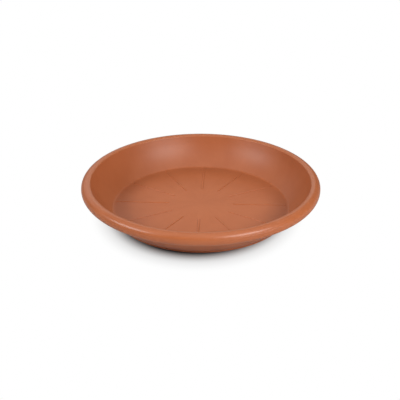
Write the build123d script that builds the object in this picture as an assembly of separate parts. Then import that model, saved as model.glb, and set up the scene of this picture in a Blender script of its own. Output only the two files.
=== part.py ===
from build123d import *
import math
import os

# Round saucer for a flower pot, moulded in one shot. It is modelled zone by zone.
# The zones meet face to face, so together they fill exactly the moulding.
# Lengths are in millimetres. The axis is Z, and the foot stands on the plane z = 0.

# Overall sizes
rim_diameter = 300.0
overall_height = 43.5
base_diameter = 227.0
wall_thickness = 2.0
wall_curve_radius = 80.0
floor_thickness = 2.0
floor_corner_radius = 4.0

# Foot ring under the edge of the floor
foot_height = 2.0
foot_width = 2.6
foot_edge_radius = 0.6

# Rim: a sloping ledge outside the mouth, then a lip rolled over and curled in
ledge_width = 4.5
ledge_slope_degrees = 20.0
mouth_edge_radius = 1.8
roll_radius = 7.2
lip_band_height = 0.6
lip_curl_degrees = 60.0

# Ribs on the floor, which hold a pot off the water
rib_count = 12
rib_width = 2.4
rib_height = 0.6
rib_edge_radius = 0.3
rib_start_radius = 41.0
rib_end_gap = 1.5

# Mark that the mould's gate leaves under the centre of the floor
gate_diameter = 6.0
gate_height = 0.8
gate_edge_radius = 0.3

rim_radius = rim_diameter / 2
base_radius = base_diameter / 2
floor_top = foot_height + floor_thickness


def direction(degrees):
    """Unit vector in the section plane, where x is the radius and y the height."""
    return Vector(math.cos(math.radians(degrees)), math.sin(math.radians(degrees)))


def arc(centre, radius, start, end):
    """Arc about a centre in the section plane, between two angles in degrees."""
    middle = (start + end) / 2
    return ThreePointArc(*[centre + direction(a) * radius for a in (start, middle, end)])


def turned(edges):
    """Solid of revolution about the saucer's axis, from the edges of a section."""
    return revolve(Plane.XZ * make_face(edges), Axis.Z)


# Centres of the roll's upper and lower bends, which the upright band parts
roll_centre = Vector(rim_radius - roll_radius, overall_height - roll_radius)
curl_centre = roll_centre - Vector(0, lip_band_height)

# The ledge runs down from the roll, as a tangent to it, to the mouth's edge
ledge_up = direction(ledge_slope_degrees)
ledge_normal = direction(ledge_slope_degrees + 90)
ledge_top = roll_centre + ledge_normal * roll_radius
mouth_radius = roll_centre.X - ledge_width
mouth = ledge_top - ledge_up * ((ledge_top.X - mouth_radius) / ledge_up.X)

# The wall bows outward from the foot ring, as an arc in section, and ends straight for
# one wall thickness below the mouth. The arc's centre lies at a known distance from the
# mouth and from the foot, so it is where two circles cross.
wall_foot = Vector(base_radius, foot_height)
outer_curve_radius = wall_curve_radius + wall_thickness
mouth_distance = math.hypot(wall_curve_radius, wall_thickness)
chord = wall_foot - mouth
along_chord = (mouth_distance**2 - outer_curve_radius**2 + chord.length**2) / (2 * chord.length)
off_chord = math.sqrt(mouth_distance**2 - along_chord**2)
chord_way = chord.normalized()
curve_centre = mouth + chord_way * along_chord + Vector(chord_way.Y, -chord_way.X) * off_chord


def bearing(start, end):
    """Angle in degrees at which one point of the section plane sees another."""
    return math.degrees(math.atan2(end.Y - start.Y, end.X - start.X))


# Slope and directions of the wall where it ends, at the rim
straight_end_angle = math.degrees(math.atan2(wall_thickness, wall_curve_radius))
wall_slope_degrees = bearing(curve_centre, mouth) + 90 - straight_end_angle
wall_up = direction(wall_slope_degrees)
wall_normal = direction(wall_slope_degrees + 90)

# The rounded corner between floor and wall. The flat floor ends under its centre.
corner_height = floor_top + floor_corner_radius
corner_reach = wall_curve_radius - floor_corner_radius
floor_radius = curve_centre.X + math.sqrt(corner_reach**2 - (curve_centre.Y - corner_height) ** 2)
corner_centre = Vector(floor_radius, corner_height)
corner_bearing = bearing(curve_centre, corner_centre)

# Where the wall ends and the rim begins, one wall thickness below the mouth's edge
join_inner = mouth - wall_up * wall_thickness
join_outer = join_inner - wall_normal * wall_thickness


def floor_plate():
    """Flat round floor, raised on the foot ring."""
    plate = Cylinder(floor_radius, floor_thickness, align=(Align.CENTER, Align.CENTER, Align.MIN))
    return Pos(0, 0, foot_height) * plate


def foot_ring():
    """Low ring that the saucer stands on, under the edge of the floor."""
    inner_radius = base_radius - foot_width
    section = make_face(Polyline(
        (inner_radius, 0),
        (base_radius, 0),
        wall_foot,
        (inner_radius, foot_height),
        close=True,
    ))
    section = fillet(section.vertices().group_by(Axis.Y)[0], foot_edge_radius)
    return revolve(Plane.XZ * section, Axis.Z)


def side_wall():
    """Bowed wall, with the rounded corner that joins it to the floor."""
    top = wall_slope_degrees - 90
    corner = arc(corner_centre, floor_corner_radius, -90, corner_bearing)
    inner_curve = arc(curve_centre, wall_curve_radius, corner_bearing, top)
    outer_curve = arc(curve_centre, outer_curve_radius, top, bearing(curve_centre, wall_foot))
    return turned([
        corner,
        inner_curve,
        Line(inner_curve @ 1, outer_curve @ 0),
        outer_curve,
        Polyline(outer_curve @ 1, (floor_radius, foot_height), corner @ 0),
    ])


def rim_ledge():
    """Narrow sloping ledge from the mouth's rounded edge out to the crest of the roll."""
    turn = wall_slope_degrees - ledge_slope_degrees
    setback = mouth_edge_radius * math.tan(math.radians(turn / 2))
    edge_centre = mouth - wall_up * setback - wall_normal * mouth_edge_radius
    edge = arc(edge_centre, mouth_edge_radius, wall_slope_degrees + 90, ledge_slope_degrees + 90)
    top = arc(roll_centre, roll_radius, ledge_slope_degrees + 90, 90)
    under = arc(roll_centre, roll_radius - wall_thickness, 90, ledge_slope_degrees + 90)
    bend = direction(90 + ledge_slope_degrees + turn / 2)
    inner_bend = mouth - bend * (wall_thickness / math.cos(math.radians(turn / 2)))
    return turned([
        Line(join_inner, edge @ 0),
        edge,
        Line(edge @ 1, top @ 0),
        top,
        Line(top @ 1, under @ 0),
        under,
        Polyline(under @ 1, inner_bend, join_outer, join_inner),
    ])


def rolled_lip():
    """Lip that rolls over from the crest, drops and curls in to a rounded end."""
    inside_radius = roll_radius - wall_thickness
    outer_roll = arc(roll_centre, roll_radius, 90, 0)
    outer_curl = arc(curl_centre, roll_radius, 0, -lip_curl_degrees)
    inner_curl = arc(curl_centre, inside_radius, -lip_curl_degrees, 0)
    inner_roll = arc(roll_centre, inside_radius, 0, 90)
    end_radius = wall_thickness / 2
    end_centre = curl_centre + direction(-lip_curl_degrees) * (roll_radius - end_radius)
    end_tip = end_centre + direction(-lip_curl_degrees - 90) * end_radius
    return turned([
        outer_roll,
        Line(outer_roll @ 1, outer_curl @ 0),
        outer_curl,
        ThreePointArc(outer_curl @ 1, end_tip, inner_curl @ 0),
        inner_curl,
        Line(inner_curl @ 1, inner_roll @ 0),
        inner_roll,
        Line(inner_roll @ 1, outer_roll @ 0),
    ])


def floor_rib(degrees):
    """Radial rib with round ends and eased top edges, turned to its place."""
    rib_end_radius = floor_radius - rib_end_gap
    length = rib_end_radius - rib_start_radius
    middle = (rib_end_radius + rib_start_radius) / 2
    rib = extrude(Pos(middle, 0, floor_top) * SlotOverall(length, rib_width), rib_height)
    rib = fillet(rib.faces().sort_by(Axis.Z)[-1].edges(), rib_edge_radius)
    return Rot(0, 0, degrees) * rib


def gate_mark():
    """Low round pip that hangs under the centre of the floor, clear of the ground."""
    pip = Cylinder(gate_diameter / 2, gate_height, align=(Align.CENTER, Align.CENTER, Align.MAX))
    pip = fillet(pip.faces().sort_by(Axis.Z)[0].edges(), gate_edge_radius)
    return Pos(0, 0, foot_height) * pip


nodes = {
    "floor_plate": floor_plate(),
    "foot_ring": foot_ring(),
    "side_wall": side_wall(),
    "rim_ledge": rim_ledge(),
    "rolled_lip": rolled_lip(),
    "gate_mark": gate_mark(),
}
for number in range(rib_count):
    nodes[f"floor_rib_{number + 1:02d}"] = floor_rib(number * 360 / rib_count)

os.makedirs("parts", exist_ok=True)
for name, shape in nodes.items():
    export_step(shape, f"parts/{name}.step")
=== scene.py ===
import math

import bmesh
import bpy
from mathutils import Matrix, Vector
from mathutils.geometry import intersect_line_line


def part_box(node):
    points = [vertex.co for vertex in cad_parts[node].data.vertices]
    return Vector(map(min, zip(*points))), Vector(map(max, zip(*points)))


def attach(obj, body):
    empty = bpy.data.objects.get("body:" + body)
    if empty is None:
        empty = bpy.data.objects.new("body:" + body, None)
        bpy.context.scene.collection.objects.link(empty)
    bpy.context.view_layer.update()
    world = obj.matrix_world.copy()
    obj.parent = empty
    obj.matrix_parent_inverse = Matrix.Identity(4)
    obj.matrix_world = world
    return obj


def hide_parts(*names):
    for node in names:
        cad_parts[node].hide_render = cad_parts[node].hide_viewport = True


# Plant saucer: one moulding in satin terracotta plastic, standing on a white table.
# Lengths are in metres and angles in degrees. Sections are drawn in the plane y = 0,
# where x is the distance from the saucer's axis, and then spun round that axis.

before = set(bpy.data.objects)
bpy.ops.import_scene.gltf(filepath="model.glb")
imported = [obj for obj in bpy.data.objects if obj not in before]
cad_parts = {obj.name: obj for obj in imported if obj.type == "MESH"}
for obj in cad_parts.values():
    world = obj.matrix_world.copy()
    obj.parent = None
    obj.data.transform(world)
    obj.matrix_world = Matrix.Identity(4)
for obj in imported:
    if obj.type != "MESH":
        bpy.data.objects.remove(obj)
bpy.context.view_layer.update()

# Measures that the frame gives
floor_low, floor_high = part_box("floor_plate")
_, foot_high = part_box("foot_ring")
_, wall_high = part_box("side_wall")
ledge_low, ledge_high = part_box("rim_ledge")
_, lip_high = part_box("rolled_lip")
rib_low, rib_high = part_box("floor_rib_01")
gate_low, gate_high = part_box("gate_mark")
rib_names = sorted(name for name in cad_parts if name.startswith("floor_rib_"))

floor_top = floor_high.z
floor_underside = floor_low.z
wall_thickness = floor_high.z - floor_low.z
rib_half_width = (rib_high.y - rib_low.y) / 2
rim_radius = lip_high.x
rim_top = lip_high.z
roll_centre_radius = ledge_high.x
roll_radius = rim_radius - roll_centre_radius

# Measures of the moulding that the frame's boxes don't give
ledge_slope = 20.0
mouth_edge_radius = 0.0018
floor_corner_radius = 0.004
lip_band_height = 0.0006
lip_curl = 60.0
lip_end_share = 0.49
foot_width = 0.0026
foot_edge_radius = 0.0006
under_bend_radius = 0.0006
floor_overlap = 0.001
parting_ridge_height = 0.00005
parting_ridge_half_width = 0.00014
rib_draft = 0.00022
rib_fillet = 0.00032
rib_edge_radius = 0.00034
gate_ring_share = 0.3
gate_dimple = 0.0003
gate_edge_radius = 0.0001
gate_well_radius = 0.018
gate_well_slope = 0.0008
gate_well_depth = 0.0003

# Fineness of the meshes, and the limits at which places and edges are told apart
around = 240
degrees_per_segment = 5.0
fewest_steps = 3
rib_end_steps = 12
gate_sides = 64
gate_edge_segments = 3
merge_distance = 0.000001
smooth_angle = 32.0
sharp_angle = 57.0
facing_down = -0.9


def place(radius, height):
    """Point of a section."""
    return Vector((radius, 0, height))


def heading(degrees):
    """Unit vector of a section: 0 points away from the axis and 90 up."""
    return Vector((math.cos(math.radians(degrees)), 0, math.sin(math.radians(degrees))))


def crossing(start, along, other, across):
    """Point where two lines of a section cross, each given by a point and a direction."""
    return intersect_line_line(start, start + along, other, other + across)[0]


# The wall's outer side runs from the foot's top edge to the rim, as an arc that bows
# outward. Its slope at the rim follows from how much higher its inner side ends.
foot_radius = foot_high.x
wall_outside_low = place(foot_radius, floor_underside)
wall_outside_high = place(wall_high.x, ledge_low.z)
wall_slope = math.degrees(math.acos((wall_high.z - ledge_low.z) / wall_thickness))
wall_along = heading(wall_slope)
wall_inward = heading(wall_slope + 90)
wall_chord = wall_outside_high - wall_outside_low
outer_curve_radius = -wall_chord.length_squared / (2 * wall_inward.dot(wall_chord))
inner_curve_radius = outer_curve_radius - wall_thickness
curve_centre = wall_outside_high + wall_inward * outer_curve_radius
joint_inside = wall_outside_high + wall_inward * wall_thickness

# Rounded corner between the floor and the wall
corner_reach = inner_curve_radius - floor_corner_radius
corner_drop = curve_centre.z - floor_top - floor_corner_radius
corner_centre = curve_centre + place(math.sqrt(corner_reach**2 - corner_drop**2), -corner_drop)
corner_end = corner_centre + (corner_centre - curve_centre).normalized() * floor_corner_radius
floor_joint_radius = floor_high.x - floor_overlap

# Rim: the ledge's line meets the wall's line at the mouth and runs into the roll
ledge_along = heading(ledge_slope)
upright = heading(90)
inner_roll_radius = roll_radius - wall_thickness
roll_centre = place(roll_centre_radius, rim_top - roll_radius)
curl_centre = roll_centre - place(0, lip_band_height)
ledge_top = roll_centre + heading(ledge_slope + 90) * roll_radius
mouth = crossing(joint_inside, wall_along, ledge_top, ledge_along)

# Colours, as red, green, blue and cover
white = (1, 1, 1, 1)
plastic_colour = (0.456, 0.129, 0.043, 1)
# Pale colour of the cloudy tone, also used for the painted highlight at the mouth
pale_mottle_and_highlight_colour = (0.497, 0.151, 0.056, 1)
deep_colour = (0.420, 0.112, 0.035, 1)
# Painted light: paler, warmer colour of the floor's middle
lit_floor_colour = (0.516, 0.141, 0.040, 1)
# Painted shade: darker colour for the dish's corner, its low wall and beside its ribs
painted_shade_colour = (0.228, 0.062, 0.020, 1)
scuff_colour = (0.600, 0.270, 0.160, 1)
table_colour = (0.86, 0.86, 0.86, 1)
# Painted shadow on the table: grey under the saucer, darker still in a line at its foot
shadow_colour = (0.30, 0.315, 0.32, 1)
contact_shadow_colour = (0.07, 0.08, 0.085, 1)

# Scales of the noises in the plastic
cloud_scale = 22
streak_scale = 7
speck_scale = 420
grain_scale = 1500
ripple_scale = 60
rubbing_scale = 260

# Cloudy tone, with streaks that run outward from the gate
cloud_share = 0.6
streak_hub = 0.002
streak_stretch = 6
mottle_limits = (0.35, 0.65)
plain_share = 0.6

# Painted light in the middle of the floor and painted shade in the dish's corner and on its low
# wall, which rise and fall by distance from the axis
dish_heights = (floor_underside + 0.0008, floor_top)
floor_light_fall = (0.030, 0.098)
corner_shade_rise = (0.080, 0.1080)
corner_shade_fall = (0.1080, 0.1145)
corner_shade_depth = 0.32
low_wall_shade_fall = (0.1080, mouth.x)
low_wall_shade_skin = (inner_curve_radius + 0.0005, inner_curve_radius + 0.0015)
low_wall_shade_depth = 0.12

# Painted shade: a darker line beside each rib, by distance from the rib's middle and then along
# the rib
crevice_shade_rise = (rib_half_width - 0.0001, rib_half_width + 0.0001)
crevice_shade_fall = (rib_half_width + 0.0001, rib_half_width + 0.0009)
crevice_shade_start = (rib_low.x, rib_low.x + 0.002)
crevice_shade_end = (rib_high.x - 0.001, rib_high.x)
crevice_shade_depth = 0.35

# Painted highlight on the mouth's edge, by distance from the axis and by height
mouth_highlight_rise = (mouth.x - 0.0010, mouth.x)
mouth_highlight_fall = (roll_centre_radius - 0.0005, roll_centre_radius + 0.0015)
mouth_highlight_heights = (mouth.z - 0.0015, mouth.z - 0.0005)
mouth_highlight_depth = 0.70

# Scuffs under the foot and on the crest of the rim
foot_scuff_heights = (0.0002, 0.0012)
foot_scuff_limits = (0.42, 0.7)
foot_scuff_depth = 0.6
crest_heights = (rim_top - 0.0012, rim_top)
crest_scuff_limits = (0.52, 0.74)
crest_scuff_depth = 0.3
scuff_depth = 0.7

# Gloss and small bumps
satin_roughness = 0.43
polished_roughness = 0.33
polish_rise = (mouth.x - 0.001, mouth.x + 0.001)
roughness_change = 0.05
refraction = 1.49
grain_height = 0.020
ripple_height = 0.06
bump_distance = 0.001

# Table, and the saucer's shadow painted on it by distance from the middle of the shadow
table_size = 12.0
contact_shadow_limits = (0.1125, 0.1225)
shadow_core = (0.113, 0.1358)
shadow_fringe = (0.113, 0.1549)
shadow_core_share = 0.525
shadow_centre = -0.0038
shadow_squeeze = 1.115

# Shares of the white table and studio that glossy surfaces mirror, and the lamps' distance
table_mirrored = 0.19
studio_mirrored = 0.12
lamp_distance = 1.4

# Camera, as the photograph's view gives it
image_size = 400
focal_pixels = 622.7
camera_turn = 2.8
camera_elevation = 27.55
camera_distance = 0.8044
aim_height = 0.00858
aim_left = 0.00093
sensor_width = 36.0


def tangent(point):
    """Direction of the wall's curve at one of its points, as it runs upward."""
    return (curve_centre - point).cross(Vector((0, 1, 0))).normalized()


def begin_editing():
    bpy.ops.object.mode_set(mode="EDIT")
    bpy.ops.mesh.select_mode(type="VERT")


def end_editing():
    bpy.ops.object.mode_set(mode="OBJECT")


def named_piece(name):
    """Names the primitive that was just added and moves its place into its mesh."""
    piece = bpy.context.active_object
    piece.name = piece.data.name = name
    bpy.ops.object.transform_apply(location=True, rotation=True, scale=True)
    return piece


def select_where(piece, kind, chosen):
    """Selects the vertices, edges or faces for which chosen is true, and nothing else."""
    bpy.ops.mesh.select_mode(type=kind)
    bpy.ops.mesh.select_all(action="DESELECT")
    mesh = bmesh.from_edit_mesh(piece.data)
    for part in {"VERT": mesh.verts, "EDGE": mesh.edges, "FACE": mesh.faces}[kind]:
        part.select_set(chosen(part))
    bmesh.update_edit_mesh(piece.data)


def at(point):
    """Test for the vertex that stands at a point."""
    return lambda vert: (vert.co - point).length < merge_distance


def start_outline(name, point, size):
    """New piece in edit mode: a plane that is merged to one selected vertex at a point."""
    bpy.ops.object.select_all(action="DESELECT")
    bpy.ops.mesh.primitive_plane_add(size=size, location=point)
    piece = named_piece(name)
    begin_editing()
    bpy.ops.mesh.select_all(action="SELECT")
    bpy.ops.mesh.merge(type="CENTER")
    return piece


def draw_corner(before, corner, after, radius):
    """Extrudes the selected end of an outline to a corner, and round it where it has a radius."""
    start = end = corner
    if radius:
        way_in = (corner - before).normalized()
        way_out = (after - corner).normalized()
        turn = way_in.angle(way_out)
        start = corner - way_in * radius * math.tan(turn / 2)
        end = corner + way_out * radius * math.tan(turn / 2)
    if (start - before).length > merge_distance:
        bpy.ops.mesh.extrude_region_move(TRANSFORM_OT_translate={"value": start - before})
    if radius:
        hinge = way_out.cross(way_in).normalized()
        bpy.ops.mesh.spin(
            steps=max(fewest_steps, math.ceil(math.degrees(turn) / degrees_per_segment)),
            angle=turn,
            center=start + way_in.cross(hinge) * radius,
            axis=hinge,
        )
    return end


def draw_outline(name, corners):
    """Closed outline in the section plane, from corners given as place and rounding."""
    points = [corner for corner, _ in corners]
    piece = start_outline(name, points[0], wall_thickness)
    end = points[0]
    for number, (corner, radius) in enumerate(corners[1:], 1):
        after = points[(number + 1) % len(points)]
        end = draw_corner(end, corner, after, radius)
    select_where(piece, "VERT", lambda vert: at(points[0])(vert) or at(end)(vert))
    bpy.ops.mesh.edge_face_add()
    return piece


def spin_outline():
    """Spins a closed outline once round the saucer's axis, to a closed ring."""
    bpy.ops.mesh.select_all(action="SELECT")
    bpy.ops.mesh.spin(steps=around, angle=math.tau, center=(0, 0, 0), axis=(0, 0, 1))
    bpy.ops.mesh.select_all(action="SELECT")
    bpy.ops.mesh.remove_doubles(threshold=merge_distance)
    bpy.ops.mesh.normals_make_consistent(inside=False)
    end_editing()


def lathe(name, corners):
    """Ring of the moulding, drawn as a section and spun."""
    piece = draw_outline(name, corners)
    spin_outline()
    return piece


def finish_piece(piece, material, *nodes):
    """Smooths a piece, gives it its material and hides the nodes that it stands for."""
    bpy.ops.object.select_all(action="DESELECT")
    piece.select_set(True)
    bpy.context.view_layer.objects.active = piece
    bpy.ops.object.shade_smooth_by_angle(angle=math.radians(smooth_angle))
    piece.data.materials.clear()
    piece.data.materials.append(material)
    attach(piece, "root")
    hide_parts(*nodes)


def make_wall():
    """Bowed wall: the rounded corner to the floor, then one arc up to the rim."""
    floor_line = place(0, floor_top)
    corner = crossing(floor_line, heading(0), corner_end, tangent(corner_end))
    inner_bow = crossing(corner_end, tangent(corner_end), joint_inside, wall_along)
    low_tangent = tangent(wall_outside_low)
    outer_bow = crossing(wall_outside_low, low_tangent, wall_outside_high, wall_along)
    return lathe("bowed_wall", [
        (place(floor_joint_radius, floor_top), 0),
        (corner, floor_corner_radius),
        (inner_bow, inner_curve_radius),
        (joint_inside, 0),
        (wall_outside_high, 0),
        (outer_bow, outer_curve_radius),
        (wall_outside_low, 0),
        (place(floor_joint_radius, floor_underside), 0),
    ])


def curl_corners(outside, inside):
    """Corners of the lip's curl, from its outer side round its end to its inner side."""
    curl_way = heading(-lip_curl - 90)
    outer_end = curl_centre + heading(-lip_curl) * roll_radius
    inner_end = curl_centre + heading(-lip_curl) * inner_roll_radius
    tip = curl_way * (wall_thickness / 2)
    lip_end_radius = wall_thickness * lip_end_share
    return [
        (crossing(outer_end, curl_way, outside, upright), roll_radius),
        (outer_end + tip, lip_end_radius),
        (inner_end + tip, lip_end_radius),
        (crossing(inner_end, curl_way, inside, upright), inner_roll_radius),
    ]


def make_rim():
    """Rolled rim: rounded mouth edge, sloping ledge, roll, band with parting line and curl."""
    outside = place(rim_radius - parting_ridge_height, 0)
    inside = place(rim_radius - wall_thickness, 0)
    ledge_underside = ledge_top - heading(ledge_slope + 90) * wall_thickness
    outer_top = crossing(ledge_top, ledge_along, outside, upright)
    inner_top = crossing(ledge_underside, ledge_along, inside, upright)
    inner_bend = crossing(wall_outside_high, wall_along, inner_top, ledge_along)
    parting = outside + place(0, (roll_centre.z + curl_centre.z) / 2)
    ridge_rise = place(0, parting_ridge_half_width)
    return lathe("rolled_rim", [
        (joint_inside, 0),
        (mouth, mouth_edge_radius),
        (outer_top, roll_radius),
        (parting + ridge_rise, 0),
        (parting + place(parting_ridge_height, 0), 0),
        (parting - ridge_rise, 0),
        *curl_corners(outside, inside),
        (inner_top, inner_roll_radius),
        (inner_bend, under_bend_radius),
        (wall_outside_high, 0),
    ])


def make_foot():
    """Ring that the saucer stands on."""
    inner_radius = foot_radius - foot_width
    return lathe("standing_ring", [
        (place(inner_radius, floor_underside), 0),
        (place(inner_radius, 0), foot_edge_radius),
        (place(foot_radius, 0), foot_edge_radius),
        (wall_outside_low, 0),
    ])


def make_floor():
    """Flat round floor, with the shallow well round the gate underneath."""
    bpy.ops.object.select_all(action="DESELECT")
    bpy.ops.mesh.primitive_cylinder_add(
        vertices=around,
        radius=floor_joint_radius,
        depth=wall_thickness,
        location=(0, 0, (floor_top + floor_underside) / 2),
    )
    piece = named_piece("floor_disc")
    begin_editing()
    select_where(piece, "FACE", lambda face: face.normal.z < facing_down)
    bpy.ops.mesh.inset(thickness=floor_joint_radius - gate_well_radius, depth=0)
    bpy.ops.mesh.inset(thickness=gate_well_slope, depth=-gate_well_depth)
    end_editing()
    return piece


def sweep_rib(outer_end, inner_end):
    """Sweeps the selected section round half of one end, along, round the other and back."""
    along = inner_end - outer_end
    for centre, angle, move in (
        (outer_end, math.pi / 2, along),
        (inner_end, math.pi, -along),
        (outer_end, math.pi / 2, None),
    ):
        steps = round(rib_end_steps * angle / math.pi)
        bpy.ops.mesh.spin(steps=steps, angle=angle, center=centre, axis=(0, 0, 1))
        if move:
            bpy.ops.mesh.extrude_region_move(TRANSFORM_OT_translate={"value": move})
    bpy.ops.mesh.select_all(action="SELECT")
    bpy.ops.mesh.remove_doubles(threshold=merge_distance)


def make_rib(name):
    """Radial rib on the +X side: its end's section is swept round, then its top is filled."""
    top = rib_high.z
    outer_end = place(rib_high.x - rib_half_width, floor_top)
    inner_end = place(rib_low.x + rib_half_width, floor_top)
    toe = place(rib_high.x + rib_fillet * 2, floor_top)
    foot = place(rib_high.x, floor_top)
    shoulder = place(rib_high.x - rib_draft, top)
    crown = place(outer_end.x, top)
    piece = start_outline(name, crown, rib_half_width)
    end = draw_corner(crown, shoulder, foot, rib_edge_radius)
    draw_corner(end, foot, toe, rib_fillet)
    bpy.ops.mesh.select_all(action="SELECT")
    sweep_rib(outer_end, inner_end)
    select_where(piece, "EDGE", lambda edge: edge.is_boundary)
    bpy.ops.mesh.edge_face_add()
    bpy.ops.mesh.select_all(action="SELECT")
    bpy.ops.mesh.normals_make_consistent(inside=False)
    end_editing()
    return piece


def turned_copy(piece, name, degrees):
    """Copy of a piece with its own mesh, turned about the saucer's axis.

    With no window, transform.rotate turns the other way, so its angle is negative.
    """
    bpy.ops.object.select_all(action="DESELECT")
    piece.select_set(True)
    bpy.context.view_layer.objects.active = piece
    bpy.ops.object.duplicate()
    twin = bpy.context.active_object
    twin.name = twin.data.name = name
    begin_editing()
    bpy.ops.mesh.select_all(action="SELECT")
    bpy.ops.transform.rotate(
        value=-math.radians(degrees), orient_axis="Z", center_override=(0, 0, 0)
    )
    end_editing()
    return twin


def make_gate():
    """Round pip under the floor, with a dimple and the broken stub of the runner."""
    radius = gate_high.x
    height = gate_high.z - gate_low.z
    bpy.ops.object.select_all(action="DESELECT")
    bpy.ops.mesh.primitive_cylinder_add(
        vertices=gate_sides, radius=radius, depth=height, location=(0, 0, gate_low.z + height / 2)
    )
    piece = named_piece("gate_pip")
    begin_editing()
    select_where(piece, "FACE", lambda face: face.normal.z < facing_down)
    bpy.ops.mesh.inset(thickness=radius * gate_ring_share, depth=0)
    bpy.ops.mesh.inset(thickness=gate_dimple, depth=-gate_dimple)
    bpy.ops.mesh.inset(thickness=radius * gate_ring_share, depth=0)
    bpy.ops.mesh.inset(thickness=gate_dimple / 2, depth=gate_dimple)
    sharp = math.radians(sharp_angle)
    select_where(piece, "EDGE", lambda edge: edge.calc_face_angle(0) > sharp)
    bpy.ops.mesh.bevel(
        offset_type="OFFSET", offset=gate_edge_radius, segments=gate_edge_segments, affect="EDGES"
    )
    end_editing()
    return piece


class Wire:
    """The value of a socket, so that sums of values read as plain sums."""

    def __init__(self, shader, socket):
        self.shader = shader
        self.socket = socket

    def __add__(self, other):
        return self.shader.maths("ADD", self, other)

    def __sub__(self, other):
        return self.shader.maths("SUBTRACT", self, other)

    def __mul__(self, other):
        return self.shader.maths("MULTIPLY", self, other)

    def __truediv__(self, other):
        return self.shader.maths("DIVIDE", self, other)

    def __rsub__(self, other):
        return self.shader.maths("SUBTRACT", other, self)

    def __rtruediv__(self, other):
        return self.shader.maths("DIVIDE", other, self)

    __radd__ = __add__
    __rmul__ = __mul__


class Shader:
    """The nodes of a material or of the surroundings, added one by one."""

    def __init__(self, owner):
        owner.use_nodes = True
        self.owner = owner
        self.tree = owner.node_tree
        self.tree.nodes.clear()

    def node(self, kind, settings=None, values=None, output=0):
        """Adds a node with its settings, then its sockets' values or links."""
        made = self.tree.nodes.new("ShaderNode" + kind)
        for name, setting in (settings or {}).items():
            setattr(made, name, setting)
        for name, value in (values or {}).items():
            if isinstance(value, Wire):
                self.tree.links.new(value.socket, made.inputs[name])
            else:
                made.inputs[name].default_value = value
        return Wire(self, made.outputs[output]) if len(made.outputs) else made

    def beside(self, wire, names):
        """Outputs of the node that a wire comes from, by name or number."""
        return [Wire(self, wire.socket.node.outputs[name]) for name in names]

    def maths(self, operation, *values):
        numbered = dict(enumerate(values))
        return self.node("Math", {"operation": operation}, numbered)

    def diagonal(self, across, up):
        return self.maths("SQRT", across * across + up * up)

    def rise(self, value, limits):
        """Rises smoothly from 0 to 1 between two limits."""
        low, high = limits
        return self.node(
            "MapRange",
            {"interpolation_type": "SMOOTHSTEP"},
            {"Value": value, "From Min": low, "From Max": high},
        )

    def fall(self, value, limits):
        """Falls smoothly from 1 to 0 between two limits."""
        return 1 - self.rise(value, limits)

    def band(self, value, rising, falling):
        """Rises between the first two limits and falls between the other two."""
        return self.rise(value, rising) * self.fall(value, falling)

    def noise(self, vector, scale, detail=1.0, roughness=0.5):
        return self.node(
            "TexNoise",
            {"noise_dimensions": "3D"},
            {"Vector": vector, "Scale": scale, "Detail": detail, "Roughness": roughness},
        )

    def blend(self, factor, first, second):
        """Mixes two colours."""
        colours = {"Factor": factor, 6: first, 7: second}
        return self.node("Mix", {"data_type": "RGBA"}, colours, output=2)

    def finish(self, surface, kind="Material"):
        self.node("Output" + kind, values={"Surface": surface})
        return self.owner


def cloudy_tone_and_floor_light(s, x, y, radius, clouds, dish):
    """Cloudy colour with faint streaks, and painted light that makes the middle of the floor a
    little paler and warmer.
    """
    flow_spot = s.node(
        "CombineXYZ",
        values={
            0: x / (radius + streak_hub),
            1: y / (radius + streak_hub),
            2: radius * streak_stretch,
        },
    )
    streaks = s.noise(flow_spot, streak_scale, detail=4, roughness=0.6)
    mottle = s.rise(clouds * cloud_share + streaks * (1 - cloud_share), mottle_limits)
    # Painted light: the floor's middle is paler and warmer
    floor_light = s.fall(radius, floor_light_fall) * dish
    plain = s.blend(floor_light, plastic_colour, lit_floor_colour)
    return s.blend(plain_share, s.blend(mottle, deep_colour, pale_mottle_and_highlight_colour), plain)


def rib_crevice_shade(s, x, y, radius):
    """Painted shade: a narrow darker line on both sides of every rib, where the rib meets the
    floor.
    """
    ribs_round = len(rib_names) / math.tau
    turns = s.maths("ARCTAN2", y, x) * ribs_round
    off_rib = s.maths("ABSOLUTE", turns - s.maths("ROUND", turns)) / ribs_round
    aside = s.maths("SINE", off_rib) * radius
    line = s.band(aside, crevice_shade_rise, crevice_shade_fall)
    return line * s.band(radius, crevice_shade_start, crevice_shade_end)


def painted_shade(s, x, y, z, radius):
    """Painted shade in the dish: darker in its corner, on its low wall and beside its ribs."""
    corner = s.band(radius, corner_shade_rise, corner_shade_fall)
    reach = s.diagonal(radius - curve_centre.x, z - curve_centre.z)
    low_wall_shade = s.fall(reach, low_wall_shade_skin) * s.band(radius, corner_shade_rise, low_wall_shade_fall)
    crevice_shade = rib_crevice_shade(s, x, y, radius)
    darkest_shade = s.maths("MAXIMUM", corner * corner_shade_depth, crevice_shade * crevice_shade_depth)
    return s.maths("MAXIMUM", darkest_shade, low_wall_shade * low_wall_shade_depth)


def mouth_highlight(s, z, radius):
    """Painted highlight: a ring at the mouth's edge and on the ledge, a little paler than the
    rest.
    """
    ring = s.band(radius, mouth_highlight_rise, mouth_highlight_fall)
    return ring * s.rise(z, mouth_highlight_heights) * mouth_highlight_depth


def scuff_marks(s, spot, z, specks):
    """Worn specks under the foot and fine rubbing on the crest of the rim."""
    foot = s.fall(z, foot_scuff_heights) * s.rise(specks, foot_scuff_limits)
    rubbing = s.noise(spot, rubbing_scale, detail=3, roughness=0.6)
    crest = s.rise(z, crest_heights) * s.rise(rubbing, crest_scuff_limits)
    return s.maths("MAXIMUM", foot * foot_scuff_depth, crest * crest_scuff_depth)


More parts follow.
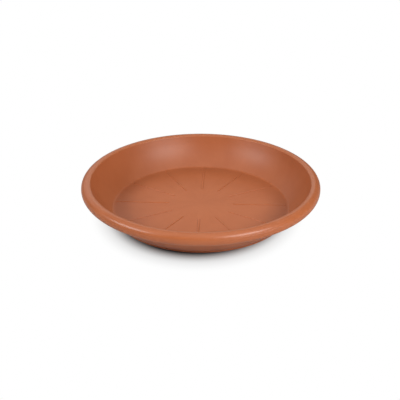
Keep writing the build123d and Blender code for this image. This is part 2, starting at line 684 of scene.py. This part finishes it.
def plastic_roughness(s, radius, clouds, scuffs):
    """Satin inside the dish and glossier on the rim, changed a little by clouds and scuffs."""
    polish = s.rise(radius, polish_rise)
    roughness = satin_roughness + polish * (polished_roughness - satin_roughness)
    return roughness + (clouds - 0.5) * roughness_change + scuffs * roughness_change


def small_bumps(s, spot, specks):
    """Fine grain, specks and a slow ripple of the skin."""
    grain = s.noise(spot, grain_scale, detail=2, roughness=0.6)
    ripple = s.noise(spot, ripple_scale)
    height = grain * grain_height + specks * grain_height + ripple * ripple_height
    return s.node("Bump", values={"Strength": 1.0, "Distance": bump_distance, "Height": height})


def satin_plastic():
    """Coloured moulded plastic: cloudy, with small bumps and scuffs, painted light in the floor's
    middle, a painted highlight at the mouth, and painted shade in its corners, on its low wall and
    beside its ribs.
    """
    s = Shader(bpy.data.materials.new("terracotta_plastic"))
    spot = s.node("TexCoord", output=3)
    x, y, z = s.beside(s.node("SeparateXYZ", values={0: spot}), (0, 1, 2))
    radius = s.diagonal(x, y)
    dish = s.rise(z, dish_heights)
    clouds = s.noise(spot, cloud_scale, detail=3)
    specks = s.noise(spot, speck_scale)
    scuffs = scuff_marks(s, spot, z, specks)
    colour = cloudy_tone_and_floor_light(s, x, y, radius, clouds, dish)
    # Painted highlight at the mouth's edge
    colour = s.blend(mouth_highlight(s, z, radius), colour, pale_mottle_and_highlight_colour)
    # Painted shade in the dish's corner, on its low wall and beside its ribs
    colour = s.blend(painted_shade(s, x, y, z, radius) * dish, colour, painted_shade_colour)
    colour = s.blend(scuffs * scuff_depth, colour, scuff_colour)
    surface = s.node(
        "BsdfPrincipled",
        values={
            "Base Color": colour,
            "Roughness": plastic_roughness(s, radius, clouds, scuffs),
            "IOR": refraction,
            "Normal": small_bumps(s, spot, specks),
        },
    )
    return s.finish(surface)


def seen_directly(s):
    """Two masks: rays from the camera or through glass, and rays off a glossy surface."""
    names = ("Is Camera Ray", "Is Glossy Ray", "Is Transmission Ray")
    camera, glossy, through = s.beside(s.node("LightPath"), names)
    return s.maths("MAXIMUM", camera, through), glossy


def white_table():
    """White table: grey where the saucer shades it, a shadow partly cast by the lamps and partly
    painted into its colour, with a painted darker line at the foot, and plain white farther out.
    """
    s = Shader(bpy.data.materials.new("white_table"))
    spot = s.node(
        "Mapping",
        values={
            "Vector": s.node("TexCoord", output=3),
            "Location": (-shadow_centre * shadow_squeeze, 0, 0),
            "Scale": (shadow_squeeze, 1, 1),
        },
    )
    distance = s.node("VectorMath", {"operation": "LENGTH"}, {0: spot}, output=1)
    core = s.rise(distance, shadow_core)
    fringe = s.rise(distance, shadow_fringe)
    clear = core * shadow_core_share + fringe * (1 - shadow_core_share)
    # Painted shadow: grey under the saucer, darkest in a line at its foot
    shaded = s.blend(s.rise(distance, contact_shadow_limits), contact_shadow_colour, shadow_colour)
    seen, glossy = seen_directly(s)
    colour = s.blend(s.maths("MAXIMUM", seen, glossy), table_colour, shaded)
    matt = s.node("BsdfDiffuse", values={"Color": colour})
    plain = s.node("Emission", values={"Color": white, "Strength": 1.0})
    shown = s.maths("MAXIMUM", seen * clear, glossy * table_mirrored)
    return s.finish(s.node("MixShader", values={0: shown, 1: matt, 2: plain}))


def make_table():
    bpy.ops.object.select_all(action="DESELECT")
    bpy.ops.mesh.primitive_plane_add(size=table_size, location=(0, 0, 0))
    table = named_piece("table")
    table.data.materials.append(white_table())


def make_surroundings():
    """White studio that the camera sees, and glossy surfaces in part; the lamps give the light."""
    world = bpy.data.worlds.new("studio")
    bpy.context.scene.world = world
    s = Shader(world)
    seen, glossy = seen_directly(s)
    shown = s.maths("MAXIMUM", seen, glossy * studio_mirrored)
    s.finish(s.node("Background", values={"Color": white, "Strength": shown}), "World")


def compass(azimuth, elevation, distance):
    """Point at an azimuth from +X, an elevation above the table and a distance."""
    a = math.radians(azimuth)
    e = math.radians(elevation)
    return Vector((math.cos(a) * math.cos(e), math.sin(a) * math.cos(e), math.sin(e))) * distance


def add_softbox(name, azimuth, elevation, width, height, strength):
    """Soft lamp aimed at the saucer; strength is the share of white it lays on a card."""
    spot = compass(azimuth + camera_turn, elevation, lamp_distance)
    bpy.ops.object.light_add(type="AREA", location=spot)
    lamp = bpy.context.active_object
    lamp.name = name
    lamp.data.shape = "RECTANGLE"
    lamp.data.size = width
    lamp.data.size_y = height
    lamp.data.energy = strength * math.pi**2 * lamp_distance**2
    lamp.rotation_euler = (-spot).to_track_quat("-Z", "Y").to_euler()


def make_lamps():
    """Two softboxes in front, a large panel above, one behind and a low strip at the right."""
    add_softbox("softbox_right", azimuth=313, elevation=37, width=0.75, height=0.45, strength=0.58)
    add_softbox("softbox_left", azimuth=201, elevation=33, width=0.75, height=0.35, strength=0.43)
    add_softbox("overhead", azimuth=270, elevation=86, width=2.40, height=2.00, strength=0.60)
    add_softbox("back_panel", azimuth=110, elevation=29, width=2.00, height=0.65, strength=0.16)
    add_softbox("low_strip", azimuth=320, elevation=5, width=1.20, height=0.20, strength=0.15)


def make_camera():
    """Camera at the photograph's viewing angle, without shift or depth of field."""
    back = compass(-90 + camera_turn, camera_elevation, 1)
    left = compass(180 + camera_turn, 0, aim_left)
    aim = Vector((0, 0, aim_height)) + left
    camera = bpy.data.cameras.new("camera")
    camera.sensor_width = sensor_width
    camera.lens = focal_pixels * sensor_width / image_size
    viewer = bpy.data.objects.new("camera", camera)
    bpy.context.scene.collection.objects.link(viewer)
    viewer.location = aim + back * camera_distance
    viewer.rotation_euler = (-back).to_track_quat("-Z", "Y").to_euler()
    bpy.context.scene.camera = viewer


plastic = satin_plastic()
finish_piece(make_floor(), plastic, "floor_plate")
finish_piece(make_wall(), plastic, "side_wall")
finish_piece(make_rim(), plastic, "rim_ledge", "rolled_lip")
finish_piece(make_foot(), plastic, "foot_ring")
finish_piece(make_gate(), plastic, "gate_mark")
first_rib = make_rib("radial_rib_01")
ribs = [first_rib] + [
    turned_copy(first_rib, f"radial_rib_{number + 1:02d}", number * 360 / len(rib_names))
    for number in range(1, len(rib_names))
]
for rib, node in zip(ribs, rib_names):
    finish_piece(rib, plastic, node)

make_table()
make_surroundings()
make_lamps()
make_camera()
bpy.context.scene.view_settings.view_transform = "Standard"
